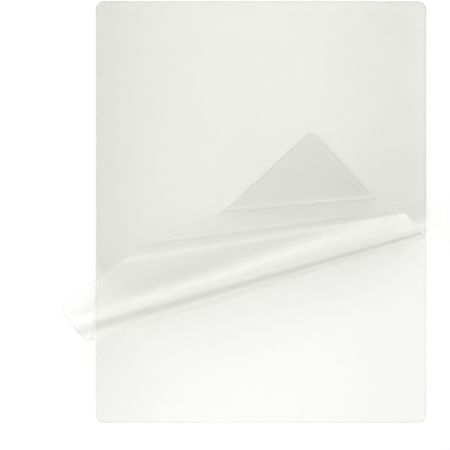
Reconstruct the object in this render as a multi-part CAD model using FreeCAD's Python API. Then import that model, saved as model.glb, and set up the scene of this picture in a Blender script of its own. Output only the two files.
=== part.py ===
"""Laminating pouch, letter size, with its front film peeled back from the open end.

Two equal clear films lie face to face and are heat-welded to each other along one short edge.
The back film lies flat. The front film lies on it from the welded edge down to a slanting line,
lifts there, rolls over in a loop that is small at its right edge and large at its left one, and
comes down again as a flat corner flap.

Frame: millimetres, X across the pouch, Y along it towards the welded edge, Z up. The origin is
the centre of the back film's underside.

The bent film is developable. It is described in the flat film by its bend lines, which all run
from the left long edge to the right one, and by how far it turns at each of them. Going down the
film, all the rest of it swings about each bend line in turn, so every length in it is kept.
"""
import FreeCAD, Part
import math
import os
from FreeCAD import Base, Placement, Rotation, Vector

# The pouch
FILM_WIDTH = 228.6                 # 9 in
FILM_LENGTH = 292.1                # 11.5 in
FILM_THICKNESS = 0.127             # 5 mil, each film
CORNER_RADIUS = 5.5
WELD_WIDTH = 3.0                   # strip along the welded short edge
WELD_DEPTH = 0.03                  # how far the welding bar pressed it in

# Where the front film lifts: the first bend line's height above the open end, on either long edge
LIFT_LEFT = 118.4
LIFT_RIGHT = 150.0

# The loop's radius where it lifts, at its nose and where it comes down, on either long edge
LIFT_RADIUS_LEFT = 80.0
LIFT_RADIUS_RIGHT = 27.5
NOSE_RADIUS_LEFT = 12.0
NOSE_RADIUS_RIGHT = 6.0
FALL_RADIUS_LEFT = 43.5
FALL_RADIUS_RIGHT = 15.0
NOSE_SHARPNESS = 1.84              # how quickly the bend tightens towards the nose

# The way down: how far past half a turn the loop goes, and the bend that lays the flap flat
OVERTURN = math.radians(70.5)
TOUCHDOWN_RADIUS = 8.0
FLAP_GAP = 0.3                     # air under the flap

# How finely the bend is followed, and the outline between two bend lines
LOOP_STEPS = 40
STRAIGHT_STEPS = 4
TOUCHDOWN_STEPS = 12
OUTLINE_STEPS = 12

LEFT = -FILM_WIDTH / 2
RIGHT = FILM_WIDTH / 2
TOP = FILM_LENGTH / 2
BOTTOM = -FILM_LENGTH / 2
FRONT_FILM_Z = FILM_THICKNESS                            # underside of the front film, lying flat
FLAP_Z = FRONT_FILM_Z + 2 * FILM_THICKNESS + FLAP_GAP    # inner side of the flap, facing up


class BendLine:
    """A straight line across the flat film, given by its height on the left and right long edges,
    and the placement that carries the flat film to where it lies beside this line."""

    def __init__(self, left, right, place):
        self.left = left
        self.right = right
        self.place = place

    def height_at(self, x):
        """The line's Y in the flat film at the given X."""
        return self.left + (self.right - self.left) * (x - LEFT) / FILM_WIDTH

    def end(self, x, depth):
        """Where the line's point at X lies in the bent film, depth above its underside."""
        return self.place.multVec(Vector(x, self.height_at(x), depth))

    def slope(self):
        """The line's angle to the short edges, in the flat film."""
        return math.atan2(self.right - self.left, FILM_WIDTH)


def turned(line, angle):
    """The placement beyond a line about which the rest of the film swings by an angle."""
    hinge = Vector(FILM_WIDTH, line.right - line.left, 0)
    swing = Placement(Vector(0, 0, 0), Rotation(hinge, math.degrees(angle)),
                      Vector(LEFT, line.left, 0))
    return line.place.multiply(swing)


def loop_radius(angle, lift, nose, fall):
    """Radius of the loop after it has turned by an angle: small at the nose, larger about it."""
    if angle > math.pi:
        return fall
    widest = lift if angle < math.pi / 2 else fall
    return nose + (widest - nose) * abs(math.cos(angle)) ** NOSE_SHARPNESS


def loop_lines():
    """The bend lines of the loop, from where the film lifts to where it has turned past half."""
    flat = Placement(Vector(0, 0, FRONT_FILM_Z), Rotation())
    lines = [BendLine(BOTTOM + LIFT_LEFT, BOTTOM + LIFT_RIGHT, flat)]
    step = (math.pi + OVERTURN) / LOOP_STEPS
    for index in range(LOOP_STEPS):
        last = lines[-1]
        angle = step * (index + 0.5)
        stretch = step / math.cos(last.slope())
        down_left = stretch * loop_radius(angle, LIFT_RADIUS_LEFT, NOSE_RADIUS_LEFT,
                                          FALL_RADIUS_LEFT)
        down_right = stretch * loop_radius(angle, LIFT_RADIUS_RIGHT, NOSE_RADIUS_RIGHT,
                                           FALL_RADIUS_RIGHT)
        middle = BendLine(last.left - down_left / 2, last.right - down_right / 2, last.place)
        lines.append(BendLine(last.left - down_left, last.right - down_right,
                              turned(middle, -step)))
    return lines


def touchdown_lines(fall):
    """The bend lines that lay the falling film flat at the flap's height.

    They are the level lines of the falling plane, so the film beyond them is level too.
    """
    inward = fall.place.Rotation.multVec(Vector(0, 0, 1))
    tilt = math.acos(-inward.z)
    level = fall.place.Rotation.inverted().multVec(inward.cross(Vector(0, 0, 1)))
    if level.x < 0:
        level = level.negative()
    level.normalize()
    down = Vector(level.y, -level.x, 0)
    rise = fall.place.Rotation.multVec(down).z
    length = TOUCHDOWN_RADIUS * tilt * math.pi / 2
    step = length / TOUCHDOWN_STEPS
    weights = [math.sin(math.pi * (index + 0.5) / TOUCHDOWN_STEPS)
               for index in range(TOUCHDOWN_STEPS)]
    turns = [tilt * weight / sum(weights) for weight in weights]
    height, slope = FLAP_Z, tilt
    for turn in turns:
        height += math.sin(slope) * step / 2
        slope -= turn
        height += math.sin(slope) * step / 2

    def level_line(distance, place):
        foot = down * distance
        grade = level.y / level.x
        return BendLine(foot.y + grade * (LEFT - foot.x), foot.y + grade * (RIGHT - foot.x), place)

    distance = (height - fall.place.Base.z) / rise
    lines = [level_line(distance, fall.place)]
    for turn in turns:
        middle = level_line(distance + step / 2, lines[-1].place)
        distance += step
        lines.append(level_line(distance, turned(middle, turn)))
    return lines


def straight_lines(above, below):
    """Lines across the straight stretch between two bend lines, the ends left out."""
    lines = []
    for index in range(1, STRAIGHT_STEPS):
        share = index / STRAIGHT_STEPS
        lines.append(BendLine(above.left + (below.left - above.left) * share,
                              above.right + (below.right - above.right) * share, above.place))
    return lines


LOOP = loop_lines()
TOUCHDOWN = touchdown_lines(LOOP[-1])
BENDS = LOOP + straight_lines(LOOP[-1], TOUCHDOWN[0]) + TOUCHDOWN
LIFT_LINE = BENDS[0]
FLAP_LINE = BENDS[-1]


def travel():
    """How far down the middle of the film each bend line lies, from the first."""
    middles = [(line.left + line.right) / 2 for line in BENDS]
    return [middles[0] - middle for middle in middles]


TRAVEL = travel()


def corner_centre(x_side, y_side):
    """Centre of a film corner's arc; each side is 1 for right or top and -1 for left or bottom."""
    return Vector(x_side * (RIGHT - CORNER_RADIUS), y_side * (TOP - CORNER_RADIUS), 0)


def corner_point(x_side, y_side, angle):
    """A point on the arc of a film corner."""
    centre = corner_centre(x_side, y_side)
    return centre + Vector(math.cos(angle), math.sin(angle), 0) * CORNER_RADIUS


def corner_arc(x_side, y_side, start):
    """Quarter arc of a film corner, anticlockwise from a start angle."""
    angles = [start, start + math.pi / 4, start + math.pi / 2]
    return Part.Arc(*[corner_point(x_side, y_side, angle) for angle in angles]).toShape()


def chain(points):
    """Straight edges from point to point."""
    return [Part.makeLine(a, b) for a, b in zip(points, points[1:])]


def lifted(edge, height):
    """A copy of an edge, moved up."""
    copy = edge.copy()
    copy.translate(Vector(0, 0, height))
    return copy


def wall(low, high):
    """The cut edge of the film between an edge of its underside and the one above it."""
    return Part.makeLoft([Part.Wire(low), Part.Wire(high)], False, True).Faces[0]


def plate_faces(outline, seam, place):
    """Both sides and the cut edge of a flat stretch of film, open along its seam.

    The outline's edges and the seam's edge lie in the flat film's underside.
    """
    upper = [lifted(edge, FILM_THICKNESS) for edge in outline]
    walls = [wall(low, high) for low, high in zip(outline, upper)]
    under = Part.Face(Part.Wire(outline + [seam]))
    over = Part.Face(Part.Wire(upper + [lifted(seam, FILM_THICKNESS)]))
    faces = [under, over] + walls
    for face in faces:
        face.Placement = place.multiply(face.Placement)
    return faces


def laid_faces():
    """The front film from the welded edge to the lift line."""
    left_start = Vector(LEFT, LIFT_LINE.left, 0)
    right_start = Vector(RIGHT, LIFT_LINE.right, 0)
    quarter = math.pi / 2
    outline = chain([right_start, corner_point(1, 1, 0)])
    outline.append(corner_arc(1, 1, 0))
    outline += chain([corner_point(1, 1, quarter), corner_point(-1, 1, quarter)])
    outline.append(corner_arc(-1, 1, quarter))
    outline += chain([corner_point(-1, 1, 2 * quarter), left_start])
    seam = Part.makeLine(left_start, right_start)
    return plate_faces(outline, seam, LIFT_LINE.place)


def flap_faces():
    """The corner of the front film that lies flat again beyond the last bend line."""
    crossing = Vector(LEFT + FILM_WIDTH * entry(FLAP_LINE.left, FLAP_LINE.right), BOTTOM, 0)
    right_start = Vector(RIGHT, FLAP_LINE.right, 0)
    quarter = math.pi / 2
    outline = chain([crossing, corner_point(1, -1, -quarter)])
    outline.append(corner_arc(1, -1, -quarter))
    outline += chain([corner_point(1, -1, 0), right_start])
    seam = Part.makeLine(right_start, crossing)
    return plate_faces(outline, seam, FLAP_LINE.place)


def rail(x, depth):
    """The path of a long edge through all the bend lines."""
    curve = Part.BSplineCurve()
    curve.interpolate(Points=[line.end(x, depth) for line in BENDS], Parameters=TRAVEL)
    return curve.toShape()


def entry(left, right):
    """Where a line across the flat film enters it on the left, as a share of the film's width.

    It does so at the long edge, at the rounded corner, or beyond that at the open edge.
    """
    if left >= BOTTOM + CORNER_RADIUS:
        return 0.0
    share = (BOTTOM - left) / (right - left)
    if share * FILM_WIDTH >= CORNER_RADIUS:
        return share
    along = Vector(FILM_WIDTH, right - left, 0)
    start = Vector(LEFT, left, 0) - corner_centre(-1, -1)
    length = along.dot(along)
    back = -start.dot(along)
    reach = back ** 2 - length * (start.dot(start) - CORNER_RADIUS ** 2)
    return (back - math.sqrt(reach)) / length


def left_border(index):
    """The film's outline on the left between two bend lines, in the surface's parameters."""
    above, below = BENDS[index], BENDS[index + 1]
    points = []
    for step in range(OUTLINE_STEPS + 1):
        share = step / OUTLINE_STEPS
        left = above.left + (below.left - above.left) * share
        right = above.right + (below.right - above.right) * share
        position = TRAVEL[index] + (TRAVEL[index + 1] - TRAVEL[index]) * share
        points.append(Base.Vector2d(position, entry(left, right)))
    if points[-1].y == 0.0:
        return Part.Geom2d.Line2dSegment(points[0], points[-1])
    curve = Part.Geom2d.BSplineCurve2d()
    curve.interpolate(points)
    return curve


def strip(surface, index):
    """One side of the film between two bend lines, with its left and right edges."""
    left = left_border(index)
    corners = [left.value(left.LastParameter), Base.Vector2d(TRAVEL[index + 1], 1),
               Base.Vector2d(TRAVEL[index], 1), left.value(left.FirstParameter)]
    outline = [left] + [Part.Geom2d.Line2dSegment(a, b) for a, b in zip(corners, corners[1:])]
    patch = surface.copy()
    patch.segment(TRAVEL[index], TRAVEL[index + 1], 0, 1)
    edges = [curve.toShape(patch) for curve in outline]
    return Part.Face(patch, Part.Wire(edges)), edges[0], edges[2]


def bent_faces():
    """Both sides and the cut edges of the bent stretch, in strips between the bend lines."""
    under, over = [Part.makeRuledSurface(rail(LEFT, depth), rail(RIGHT, depth)).Surface
                   for depth in (0.0, FILM_THICKNESS)]
    faces = []
    for index in range(len(BENDS) - 1):
        low, low_left, low_right = strip(under, index)
        high, high_left, high_right = strip(over, index)
        faces += [low, high, wall(low_left, high_left), wall(low_right, high_right)]
    return faces


def front_film():
    """The peeled film: laid stretch, bent stretch and flap sewn into one solid."""
    skin = Part.makeCompound(laid_faces() + bent_faces() + flap_faces())
    skin.sewShape(0.002)
    solid = Part.makeSolid(Part.Shell(skin.Faces))
    if solid.Volume < 0:
        solid.reverse()
    pressed = Part.makeBox(FILM_WIDTH, WELD_WIDTH, WELD_DEPTH,
                           Vector(LEFT, TOP - WELD_WIDTH,
                                  FRONT_FILM_Z + FILM_THICKNESS - WELD_DEPTH))
    return solid.cut(pressed)


def back_film():
    """The flat film underneath."""
    plate = Part.makeBox(FILM_WIDTH, FILM_LENGTH, FILM_THICKNESS, Vector(LEFT, BOTTOM, 0))
    upright = [edge for edge in plate.Edges if abs(edge.tangentAt(edge.FirstParameter).z) > 0.5]
    return plate.makeFillet(CORNER_RADIUS, upright)


def main():
    os.makedirs("parts", exist_ok=True)
    nodes = {"back_film": back_film(), "front_film": front_film()}
    for name, shape in nodes.items():
        solids = shape.Solids
        if len(solids) != 1 or not shape.isValid():
            raise RuntimeError(name + " is not one valid solid")
        solids[0].exportStep("parts/" + name + ".step")
        box = shape.BoundBox
        print(name, "volume", round(shape.Volume, 1), "box",
              [round(v, 2) for v in (box.XMin, box.YMin, box.ZMin, box.XMax, box.YMax, box.ZMax)])


main()
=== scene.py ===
"""The looks of a letter-size laminating pouch whose front film is peeled back in a loop.

Each film is cut flat, as a sheet of its real size with its corners rounded. The front film is
then folded about one bend line after another, so that no length in it changes.
"""
import math
from collections import namedtuple

import bmesh
import bpy
from bpy.props import FloatProperty, FloatVectorProperty, PointerProperty
from mathutils import Matrix, Vector


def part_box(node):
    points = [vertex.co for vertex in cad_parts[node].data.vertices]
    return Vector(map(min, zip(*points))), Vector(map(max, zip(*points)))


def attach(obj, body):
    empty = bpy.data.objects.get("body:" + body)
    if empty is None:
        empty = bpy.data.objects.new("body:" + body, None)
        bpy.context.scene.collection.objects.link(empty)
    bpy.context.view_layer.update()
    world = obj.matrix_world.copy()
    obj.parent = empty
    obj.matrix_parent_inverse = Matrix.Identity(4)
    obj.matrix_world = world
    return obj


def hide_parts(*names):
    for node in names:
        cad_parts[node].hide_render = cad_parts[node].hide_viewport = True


bl_info = {
    "name": "Laminating Pouch",
    "version": (1, 0, 0),
    "blender": (4, 5, 0),
    "location": "View3D > Sidebar > Pouch",
    "description": "A laminating pouch with its front film peeled back, on a pale table",
    "category": "Add Mesh",
}

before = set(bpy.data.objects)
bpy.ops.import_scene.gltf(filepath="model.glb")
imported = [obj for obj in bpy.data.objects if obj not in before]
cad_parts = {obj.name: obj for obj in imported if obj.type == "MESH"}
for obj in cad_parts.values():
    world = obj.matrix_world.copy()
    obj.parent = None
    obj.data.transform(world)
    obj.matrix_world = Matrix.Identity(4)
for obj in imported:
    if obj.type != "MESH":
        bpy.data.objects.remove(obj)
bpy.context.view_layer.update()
FILM_LOW, FILM_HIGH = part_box("back_film")

LOOP_FOLDS = 240
TOUCHDOWN_FOLDS = 30
CORNER_SEGMENTS = 10
CROSS_CUTS = 12

# A point of the film this near a line, in metres, counts as on it.
ON_THE_LINE = 1e-7

# How wide the marks on a film are, in metres; the first is painted shade along the cut edge.
EDGE_SHADE_WIDTH = 0.0006
CLEAR_RIM = 0.0028
WELD_FADE = 0.0005

# A clear sheet's reflection grows with this power of its slant to the eye.
GRAZING_POWER = 5

# How bright the camera sees the wall behind the table.
WALL_LIGHT = 0.9

# The stage, in metres, and the camera's lens, in millimetres.
TABLE_HALF = 1.3
TABLE_DROP = 0.0002
STRIP_HEIGHT = 0.65
STRIP_MIDDLE = -0.1
STRIP_LENGTH = 2.4
SIDE_REACH = 1.5
SIDE_SIZE = (1.0, 0.35)
BACK_PLACE = (0.0, 1.5, 0.7)
BACK_SIZE = (2.4, 1.0)
LIGHT_AIM = (0.0, 0.0, 0.02)
CAMERA_PLACE = (-0.02491, -0.00894, 2.5)
CAMERA_LENS = 288.6
CAMERA_SENSOR = 36.0

# A fold's heights on the film's left and right edges, its turn, and half the film's width.
Fold = namedtuple("Fold", ("left", "right", "turn", "half_width"))


class PouchSizes(bpy.types.PropertyGroup):
    """The pouch's two films, which are cut to the same size."""

    width: FloatProperty(
        name="Film Width", description="Length of a short edge, which is welded at the top",
        default=FILM_HIGH.x - FILM_LOW.x, min=0.05, unit="LENGTH", subtype="DISTANCE")
    length: FloatProperty(
        name="Film Length", description="Length of a long edge",
        default=FILM_HIGH.y - FILM_LOW.y, min=0.05, unit="LENGTH", subtype="DISTANCE")
    thickness: FloatProperty(
        name="Film Thickness", description="Thickness of each film",
        default=FILM_HIGH.z - FILM_LOW.z, min=0.00005, unit="LENGTH", subtype="DISTANCE")
    corner: FloatProperty(
        name="Corner Radius", description="Radius of the rounded corners",
        default=0.0055, min=0.001, unit="LENGTH", subtype="DISTANCE")
    weld: FloatProperty(
        name="Weld Width", description="Width of the strip that joins the films at the top",
        default=0.003, min=0.0, unit="LENGTH", subtype="DISTANCE")


class PeelSizes(bpy.types.PropertyGroup):
    """How the front film is peeled back. Left and right are its two long edges."""

    lift_left: FloatProperty(
        name="Lift Left", description="Where the film lifts, above the open end, on the left",
        default=0.1184, unit="LENGTH", subtype="DISTANCE")
    lift_right: FloatProperty(
        name="Lift Right", description="Where the film lifts, above the open end, on the right",
        default=0.150, unit="LENGTH", subtype="DISTANCE")
    rise_left: FloatProperty(
        name="Rise Radius Left", description="Radius of the loop where it lifts, on the left",
        default=0.080, unit="LENGTH", subtype="DISTANCE")
    rise_right: FloatProperty(
        name="Rise Radius Right", description="Radius of the loop where it lifts, on the right",
        default=0.0275, unit="LENGTH", subtype="DISTANCE")
    nose_left: FloatProperty(
        name="Nose Radius Left", description="Tightest radius of the loop, on the left",
        default=0.012, unit="LENGTH", subtype="DISTANCE")
    nose_right: FloatProperty(
        name="Nose Radius Right", description="Tightest radius of the loop, on the right",
        default=0.006, unit="LENGTH", subtype="DISTANCE")
    fall_left: FloatProperty(
        name="Fall Radius Left", description="Radius of the loop on its way down, on the left",
        default=0.0435, unit="LENGTH", subtype="DISTANCE")
    fall_right: FloatProperty(
        name="Fall Radius Right", description="Radius of the loop on its way down, on the right",
        default=0.015, unit="LENGTH", subtype="DISTANCE")
    sharpness: FloatProperty(
        name="Nose Sharpness", description="How quickly the loop tightens towards its nose",
        default=1.84, min=1.0, max=4.0)
    overturn: FloatProperty(
        name="Overturn", description="How far past half a turn the loop goes",
        default=math.radians(70.5), unit="ROTATION", subtype="ANGLE")
    touchdown: FloatProperty(
        name="Touchdown Radius", description="Tightest radius where the flap is laid flat again",
        default=0.008, unit="LENGTH", subtype="DISTANCE")
    flap_gap: FloatProperty(
        name="Flap Gap", description="Air under the flap", default=0.0003,
        unit="LENGTH", subtype="DISTANCE")


class FilmFinish(bpy.types.PropertyGroup):
    """The finish of the clear film and its milky adhesive side."""

    front_milk: FloatVectorProperty(
        name="Front Milk", description="Colour of the light that the front film scatters",
        default=(0.78, 0.79, 0.72), size=3, min=0.0, max=1.0, subtype="COLOR")
    back_milk: FloatVectorProperty(
        name="Back Milk", description="Colour of the light that the back film scatters",
        default=(0.94, 0.95, 0.86), size=3, min=0.0, max=1.0, subtype="COLOR")
    front_haze: FloatProperty(
        name="Front Haze", description="How much the front film hides",
        default=0.20, min=0.0, max=1.0, subtype="FACTOR")
    back_haze: FloatProperty(
        name="Back Haze", description="How much the back film hides",
        default=0.20, min=0.0, max=1.0, subtype="FACTOR")
    gloss: FloatProperty(
        name="Gloss Roughness", description="Roughness of the film's reflection",
        default=0.22, min=0.0, max=1.0, subtype="FACTOR")
    shine: FloatProperty(
        name="Shine", description="Share of the light that the film reflects straight back",
        default=0.12, min=0.0, max=1.0, subtype="FACTOR")


class StageSettings(bpy.types.PropertyGroup):
    """The pale table, the lights and the camera over it."""

    floor_colour: FloatVectorProperty(
        name="Table Colour", description="Colour of the table top",
        default=(0.90, 0.90, 0.895), size=3, min=0.0, max=1.0, subtype="COLOR")
    room_light: FloatProperty(
        name="Room Light", description="Strength of the even light from all round",
        default=0.075, min=0.0)
    key_power: FloatProperty(
        name="Key Light", description="Power of the long soft light over the right side",
        default=4.1, min=0.0, unit="POWER")
    rim_power: FloatProperty(
        name="Key Rim", description="Power of the key light's bright near edge",
        default=1.6, min=0.0, unit="POWER")
    top_power: FloatProperty(
        name="Top Light", description="Power of the soft light straight above",
        default=1.75, min=0.0, unit="POWER")
    left_power: FloatProperty(
        name="Left Light", description="Power of the long soft light over the left side",
        default=1.9, min=0.0, unit="POWER")
    side_power: FloatProperty(
        name="Side Lights", description="Power of each soft light round the table",
        default=11.1, min=0.0, unit="POWER")
    back_power: FloatProperty(
        name="Back Light", description="Power of the wide soft light behind the table",
        default=4.2, min=0.0, unit="POWER")


class Signal:
    """One shader socket, so that a mask is written as plain arithmetic."""

    def __init__(self, graph, socket):
        self.graph = graph
        self.socket = socket

    def math(self, operation, *others):
        values = dict(enumerate((self, *others)))
        return self.graph.add("ShaderNodeMath", {"operation": operation}, values)

    def __add__(self, other):
        return self.math("ADD", other)

    __radd__ = __add__

    def __sub__(self, other):
        return self.math("SUBTRACT", other)

    def __rsub__(self, other):
        return self.graph.add("ShaderNodeMath", {"operation": "SUBTRACT"}, {0: other, 1: self})

    def __mul__(self, other):
        return self.math("MULTIPLY", other)

    __rmul__ = __mul__

    def __truediv__(self, other):
        return self.math("DIVIDE", other)

    def __pow__(self, other):
        return self.math("POWER", other)

    def __abs__(self):
        return self.math("ABSOLUTE")

    def least(self, other):
        return self.math("MINIMUM", other)

    def most(self, other):
        return self.math("MAXIMUM", other)

    def held(self):
        """Kept between 0 and 1."""
        settings = {"operation": "ADD", "use_clamp": True}
        return self.graph.add("ShaderNodeMath", settings, {0: self, 1: 0.0})


class Graph:
    """The node tree of one material."""

    def __init__(self, name):
        self.material = bpy.data.materials.new(name)
        self.material.use_nodes = True
        self.tree = self.material.node_tree
        self.tree.nodes.clear()

    def add(self, kind, settings=None, sockets=None, output=0):
        """Adds a node, with its settings first and then its sockets' values or links."""
        node = self.tree.nodes.new(kind)
        for name, value in (settings or {}).items():
            setattr(node, name, value)
        for name, value in (sockets or {}).items():
            if isinstance(value, Signal):
                self.tree.links.new(value.socket, node.inputs[name])
            else:
                node.inputs[name].default_value = value
        return Signal(self, node.outputs[output]) if node.outputs else node

    def noise(self, place, scale, detail, roughness):
        """Noise between 0 and 1, so many swings to the metre."""
        return self.add("ShaderNodeTexNoise", None, {
            "Vector": place, "Scale": scale, "Detail": detail, "Roughness": roughness}, "Fac")

    def output(self, surface):
        self.add("ShaderNodeOutputMaterial", None, {"Surface": surface})
        return self.material


def film_plane(graph, sizes):
    """The place on the flat film, in metres from its lower left corner, from the UV map."""
    uv = graph.add("ShaderNodeUVMap", {"uv_map": "film"})
    place = graph.add("ShaderNodeMapping", None,
                      {"Vector": uv, "Scale": (sizes.width, sizes.length, 1.0)})
    x = graph.add("ShaderNodeSeparateXYZ", None, {0: place}, "X")
    y = graph.add("ShaderNodeSeparateXYZ", None, {0: place}, "Y")
    return place, x, y


def rim_distance(x, y, sizes):
    """Distance in from the film's cut edge, round its corners too."""
    over_x = abs(x - sizes.width / 2) - (sizes.width / 2 - sizes.corner)
    over_y = abs(y - sizes.length / 2) - (sizes.length / 2 - sizes.corner)
    outside_x = over_x.most(0.0)
    outside_y = over_y.most(0.0)
    reach = (outside_x * outside_x + outside_y * outside_y) ** 0.5
    return sizes.corner - reach - over_x.most(over_y).least(0.0)


def film_material(name, sizes, finish, milk, haze):
    """Clear film with a milky adhesive side, mottled, clearer at the weld, with painted shade at
    its cut edge.
    """
    graph = Graph(name)
    place, x, y = film_plane(graph, sizes)
    rim = rim_distance(x, y, sizes)
    # Painted shade: a dark line along the cut edge that stands in for its refraction and contact
    # shadow; it greys the milk and adds haze.
    edge = (1.6 - rim / EDGE_SHADE_WIDTH).held()
    clear_rim = (1 - rim / CLEAR_RIM).held()
    weld = ((y - (sizes.length - sizes.weld)) / WELD_FADE).held()
    clouds = graph.noise(place, 70.0, 3.0, 0.6)
    broad_clouds = graph.noise(place, 16.0, 2.0, 0.5)
    mottle = (clouds - 0.5) * 0.05 + (broad_clouds - 0.5) * 0.06
    alpha = (haze * (1 + mottle - clear_rim * 0.06 - weld * 0.1) + edge * 0.2).held()
    # The milk greys along the cut edge: painted shade.
    colour = graph.add("ShaderNodeMix", {"data_type": "RGBA"},
                       {"Factor": edge * 0.5, "A": (*milk, 1.0), "B": (0.5, 0.5, 0.47, 1.0)},
                       "Result")
    bump = graph.add("ShaderNodeBump", None, {
        "Strength": 0.12, "Distance": 0.0002, "Height": graph.noise(place, 220.0, 4.0, 0.6)})
    body = graph.add("ShaderNodeBsdfPrincipled", None, {
        "Base Color": colour, "Roughness": 0.6, "Specular IOR Level": 0.0,
        "Alpha": alpha, "Normal": bump})
    gloss = graph.add("ShaderNodeBsdfPrincipled", None, {
        "Base Color": (1.0, 1.0, 1.0, 1.0), "Metallic": 1.0,
        "Roughness": finish.gloss, "Normal": bump})
    facing = graph.add("ShaderNodeLayerWeight", None, {"Blend": 0.5}, "Facing")
    mirror = finish.shine + (1 - finish.shine) * facing ** GRAZING_POWER
    surface = graph.add("ShaderNodeMixShader", None, {"Fac": mirror, 1: body, 2: gloss})
    return graph.output(surface)


def fold_line(fold):
    """A fold's left end, the way that it runs, and the way down the film across it."""
    foot = Vector((-fold.half_width, fold.left, 0.0))
    hinge = Vector((2 * fold.half_width, fold.right - fold.left, 0.0)).normalized()
    return foot, hinge, Vector((hinge.y, -hinge.x, 0.0))


def swing(fold):
    """The turn of the film beyond a fold, about the fold's line in the flat film."""
    foot, hinge, _ = fold_line(fold)
    turned = Matrix.Rotation(fold.turn, 4, hinge)
    return Matrix.Translation(foot) @ turned @ Matrix.Translation(-foot)


def loop_radius(angle, rise, nose, fall, sharpness):
    """Radius of the loop after it has turned by an angle: small at the nose, larger about it."""
    if angle > math.pi:
        return fall
    widest = rise if angle < math.pi / 2 else fall
    return nose + (widest - nose) * abs(math.cos(angle)) ** sharpness


def loop_folds(sizes, peel):
    """The folds of the loop, each with its height on the left and right edges and its turn."""
    folds = []
    left = peel.lift_left - sizes.length / 2
    right = peel.lift_right - sizes.length / 2
    step = (math.pi + peel.overturn) / LOOP_FOLDS
    for index in range(LOOP_FOLDS):
        angle = step * (index + 0.5)
        stretch = step * math.hypot(right - left, sizes.width) / sizes.width
        down_left = stretch * loop_radius(angle, peel.rise_left, peel.nose_left,
                                          peel.fall_left, peel.sharpness)
        down_right = stretch * loop_radius(angle, peel.rise_right, peel.nose_right,
                                           peel.fall_right, peel.sharpness)
        folds.append(Fold(left - down_left / 2, right - down_right / 2, -step, sizes.width / 2))
        left -= down_left
        right -= down_right
    return folds


def touchdown_folds(sizes, peel, falling, flap_height):
    """The folds that lay the falling film flat, along the falling plane's level lines."""
    turn_only = falling.to_3x3()
    inward = turn_only @ Vector((0.0, 0.0, 1.0))
    tilt = math.acos(-inward.z)
    level = turn_only.inverted() @ inward.cross(Vector((0.0, 0.0, 1.0)))
    if level.x < 0:
        level.negate()
    level.normalize()
    down = Vector((level.y, -level.x, 0.0))
    rise = (turn_only @ down).z
    step = peel.touchdown * tilt * math.pi / 2 / TOUCHDOWN_FOLDS
    weights = [math.sin(math.pi * (index + 0.5) / TOUCHDOWN_FOLDS)
               for index in range(TOUCHDOWN_FOLDS)]
    turns = [tilt * weight / sum(weights) for weight in weights]
    height, slope = flap_height, tilt
    for turn in turns:
        height += math.sin(slope) * step / 2
        slope -= turn
        height += math.sin(slope) * step / 2
    distance = (height - falling.translation.z) / rise
    grade = level.y / level.x
    folds = []
    for index, turn in enumerate(turns):
        foot = down * (distance + step * (index + 0.5))
        left = foot.y + grade * (-sizes.width / 2 - foot.x)
        right = foot.y + grade * (sizes.width / 2 - foot.x)
        folds.append(Fold(left, right, turn, sizes.width / 2))
    return folds


def peel_folds(sizes, peel):
    """All the folds of the front film, from the first that lifts it to the last of the flap.

    The film is folded while it still lies in the plane of the origin. The flap's height is taken
    from there too: it lies on the front film, with a little air between them.
    """
    folds = loop_folds(sizes, peel)
    falling = Matrix.Identity(4)
    for fold in folds:
        falling = falling @ swing(fold)
    flap_height = sizes.thickness + peel.flap_gap
    return folds + touchdown_folds(sizes, peel, falling, flap_height)


def flat_film(sizes):
    """The film as it is cut: a flat sheet with rounded corners, centred on the origin."""
    bm = bmesh.new()
    bmesh.ops.create_grid(bm, x_segments=1, y_segments=1, size=0.5)
    bmesh.ops.scale(bm, vec=(sizes.width, sizes.length, 1.0), verts=bm.verts)
    bmesh.ops.bevel(bm, geom=bm.verts[:], offset=sizes.corner, offset_type="OFFSET",
                    segments=CORNER_SEGMENTS, profile=0.5, affect="VERTICES", material=-1)
    for index in range(1, CROSS_CUTS):
        share = index / CROSS_CUTS - 0.5
        cut_along(bm, (share * sizes.width, 0.0, 0.0), (1.0, 0.0, 0.0))
    return bm


def cut_along(bm, point, normal):
    """Cuts every face of the film that a plane crosses, and keeps both sides."""
    bmesh.ops.bisect_plane(bm, geom=bm.verts[:] + bm.edges[:] + bm.faces[:], dist=ON_THE_LINE,
                           plane_co=point, plane_no=normal)


def lay_out_uv(bm, sizes):
    """A UV map that is the flat film itself, from 0 to 1 each way."""
    film = bm.loops.layers.uv.new("film")
    for face in bm.faces:
        for loop in face.loops:
            x, y, _ = loop.vert.co
            loop[film].uv = (x / sizes.width + 0.5, y / sizes.length + 0.5)


def crease_film(bm, folds):
    """Gives the flat film an edge along every fold."""
    for fold in folds:
        foot, _, down = fold_line(fold)
        cut_along(bm, foot, down)


def fold_film(bm, folds):
    """Folds the creased film about each line in turn, from the last one back to the first."""
    flat = {vert: vert.co.copy() for vert in bm.verts}
    for fold in reversed(folds):
        foot, hinge, down = fold_line(fold)
        beyond = [vert for vert, place in flat.items()
                  if (place - foot).dot(down) > ON_THE_LINE]
        bmesh.ops.rotate(bm, verts=beyond, cent=foot, matrix=Matrix.Rotation(fold.turn, 3, hinge))


def mesh_piece(name, bm, material, height=0.0):
    """A smooth piece of one material, raised by a height."""
    bmesh.ops.translate(bm, verts=bm.verts, vec=(0.0, 0.0, height))
    mesh = bpy.data.meshes.new(name)
    bm.to_mesh(mesh)
    bm.free()
    mesh.shade_smooth()
    mesh.materials.append(material)
    piece = bpy.data.objects.new(name, mesh)
    bpy.context.scene.collection.objects.link(piece)
    return piece


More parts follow.
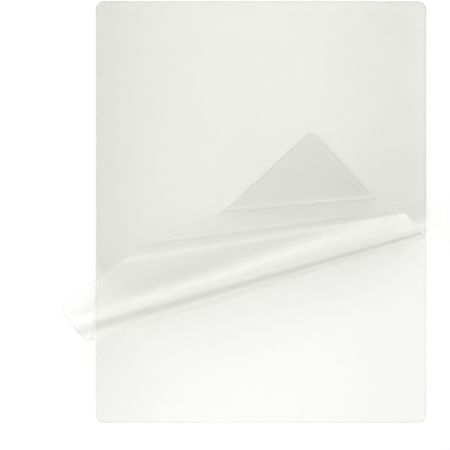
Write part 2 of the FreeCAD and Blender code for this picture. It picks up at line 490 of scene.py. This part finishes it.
class POUCH_OT_back_film(bpy.types.Operator):
    """Make the flat film underneath"""

    bl_idname = "pouch.back_film"
    bl_label = "Back Film"

    def execute(self, context):
        sizes = context.scene.pouch_sizes
        finish = context.scene.pouch_finish
        bm = flat_film(sizes)
        lay_out_uv(bm, sizes)
        material = film_material("clear_back_film", sizes, finish, finish.back_milk,
                                 finish.back_haze)
        piece = mesh_piece("flat_back_film", bm, material, sizes.thickness / 2)
        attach(piece, "root")
        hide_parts("back_film")
        return {"FINISHED"}


class POUCH_OT_front_film(bpy.types.Operator):
    """Make the film on top, peeled back in a loop with a flat corner flap"""

    bl_idname = "pouch.front_film"
    bl_label = "Front Film"

    def execute(self, context):
        sizes = context.scene.pouch_sizes
        finish = context.scene.pouch_finish
        folds = peel_folds(sizes, context.scene.pouch_peel)
        bm = flat_film(sizes)
        crease_film(bm, folds)
        lay_out_uv(bm, sizes)
        fold_film(bm, folds)
        material = film_material("clear_front_film", sizes, finish, finish.front_milk,
                                 finish.front_haze)
        piece = mesh_piece("peeled_front_film", bm, material, sizes.thickness * 1.5)
        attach(piece, "root")
        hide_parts("front_film")
        return {"FINISHED"}


def soft_light(name, place, aim, size, power):
    """A large oblong light that faces a point."""
    lamp = bpy.data.lights.new(name, "AREA")
    lamp.shape = "RECTANGLE"
    lamp.size, lamp.size_y = size
    lamp.energy = power
    light = bpy.data.objects.new(name, lamp)
    light.location = place
    light.rotation_euler = (Vector(aim) - Vector(place)).to_track_quat("-Z", "Y").to_euler()
    light.visible_camera = False
    bpy.context.scene.collection.objects.link(light)


class POUCH_OT_stage(bpy.types.Operator):
    """Make the pale table, the soft lights and the camera straight above"""

    bl_idname = "pouch.stage"
    bl_label = "Stage"

    def execute(self, context):
        stage = context.scene.pouch_stage
        self.make_floor(stage)
        self.make_world(stage)
        self.make_lights(stage)
        self.make_camera()
        context.scene.view_settings.view_transform = "Standard"
        return {"FINISHED"}

    def make_floor(self, stage):
        bm = bmesh.new()
        bmesh.ops.create_grid(bm, x_segments=2, y_segments=2, size=TABLE_HALF)
        graph = Graph("pale_table")
        shader = graph.add("ShaderNodeBsdfPrincipled", None, {
            "Base Color": (*stage.floor_colour, 1.0), "Roughness": 0.9,
            "Specular IOR Level": 0.1})
        floor = mesh_piece("table_top", bm, graph.output(shader), -TABLE_DROP)

    def make_world(self, stage):
        """Faint even light, behind which the camera still sees a pale wall."""
        world = bpy.data.worlds.new("room")
        world.use_nodes = True
        nodes, links = world.node_tree.nodes, world.node_tree.links
        light = nodes["Background"]
        wall = nodes.new("ShaderNodeBackground")
        rays = nodes.new("ShaderNodeLightPath")
        either = nodes.new("ShaderNodeMixShader")
        light.inputs["Strength"].default_value = stage.room_light
        wall.inputs["Strength"].default_value = WALL_LIGHT
        for background in (light, wall):
            background.inputs["Color"].default_value = (1.0, 1.0, 0.995, 1.0)
        links.new(rays.outputs["Is Camera Ray"], either.inputs[0])
        links.new(light.outputs[0], either.inputs[1])
        links.new(wall.outputs[0], either.inputs[2])
        links.new(either.outputs[0], nodes["World Output"].inputs["Surface"])
        bpy.context.scene.world = world

    def make_lights(self, stage):
        """Long soft lights overhead, with dark gaps beside the camera, and others round about."""
        for name, left, right, power in (("key_light", 0.26, 0.80, stage.key_power),
                                         ("key_rim", 0.20, 0.26, stage.rim_power),
                                         ("top_light", -0.12, 0.10, stage.top_power),
                                         ("left_light", -0.50, -0.35, stage.left_power)):
            middle = (left + right) / 2
            soft_light(name, (middle, STRIP_MIDDLE, STRIP_HEIGHT), (middle, STRIP_MIDDLE, 0.0),
                       (right - left, STRIP_LENGTH), power)
        for name, turn, height, share in (("side_light_right", 45, 0.6, 0.90),
                                          ("side_light_left", 180, 0.6, 0.80),
                                          ("side_light_front", 225, 0.6, 1.08),
                                          ("side_light_low", 180, 0.2, 0.80)):
            angle = math.radians(turn)
            place = (SIDE_REACH * math.cos(angle), SIDE_REACH * math.sin(angle), height)
            soft_light(name, place, LIGHT_AIM, SIDE_SIZE, share * stage.side_power)
        soft_light("back_light", BACK_PLACE, LIGHT_AIM, BACK_SIZE, stage.back_power)

    def make_camera(self):
        lens = bpy.data.cameras.new("camera")
        lens.sensor_width = CAMERA_SENSOR
        lens.lens = CAMERA_LENS
        camera = bpy.data.objects.new("camera", lens)
        camera.location = CAMERA_PLACE
        bpy.context.scene.collection.objects.link(camera)
        bpy.context.scene.camera = camera


class POUCH_PT_panel(bpy.types.Panel):
    """Sizes and finishes of the pouch, and a button for each piece"""

    bl_idname = "POUCH_PT_panel"
    bl_label = "Laminating Pouch"
    bl_space_type = "VIEW_3D"
    bl_region_type = "UI"
    bl_category = "Pouch"

    def draw(self, context):
        scene = context.scene
        for group in (scene.pouch_sizes, scene.pouch_peel, scene.pouch_finish,
                      scene.pouch_stage):
            box = self.layout.box()
            for name in group.__annotations__:
                box.prop(group, name)
        for operator in (POUCH_OT_back_film, POUCH_OT_front_film, POUCH_OT_stage):
            self.layout.operator(operator.bl_idname)


CLASSES = (PouchSizes, PeelSizes, FilmFinish, StageSettings, POUCH_OT_back_film,
           POUCH_OT_front_film, POUCH_OT_stage, POUCH_PT_panel)


def register():
    for cls in CLASSES:
        bpy.utils.register_class(cls)
    bpy.types.Scene.pouch_sizes = PointerProperty(type=PouchSizes)
    bpy.types.Scene.pouch_peel = PointerProperty(type=PeelSizes)
    bpy.types.Scene.pouch_finish = PointerProperty(type=FilmFinish)
    bpy.types.Scene.pouch_stage = PointerProperty(type=StageSettings)


def unregister():
    for name in ("pouch_sizes", "pouch_peel", "pouch_finish", "pouch_stage"):
        delattr(bpy.types.Scene, name)
    for cls in reversed(CLASSES):
        bpy.utils.unregister_class(cls)


def main():
    register()
    bpy.ops.pouch.stage()
    bpy.ops.pouch.back_film()
    bpy.ops.pouch.front_film()


if __name__ == "__main__":
    main()
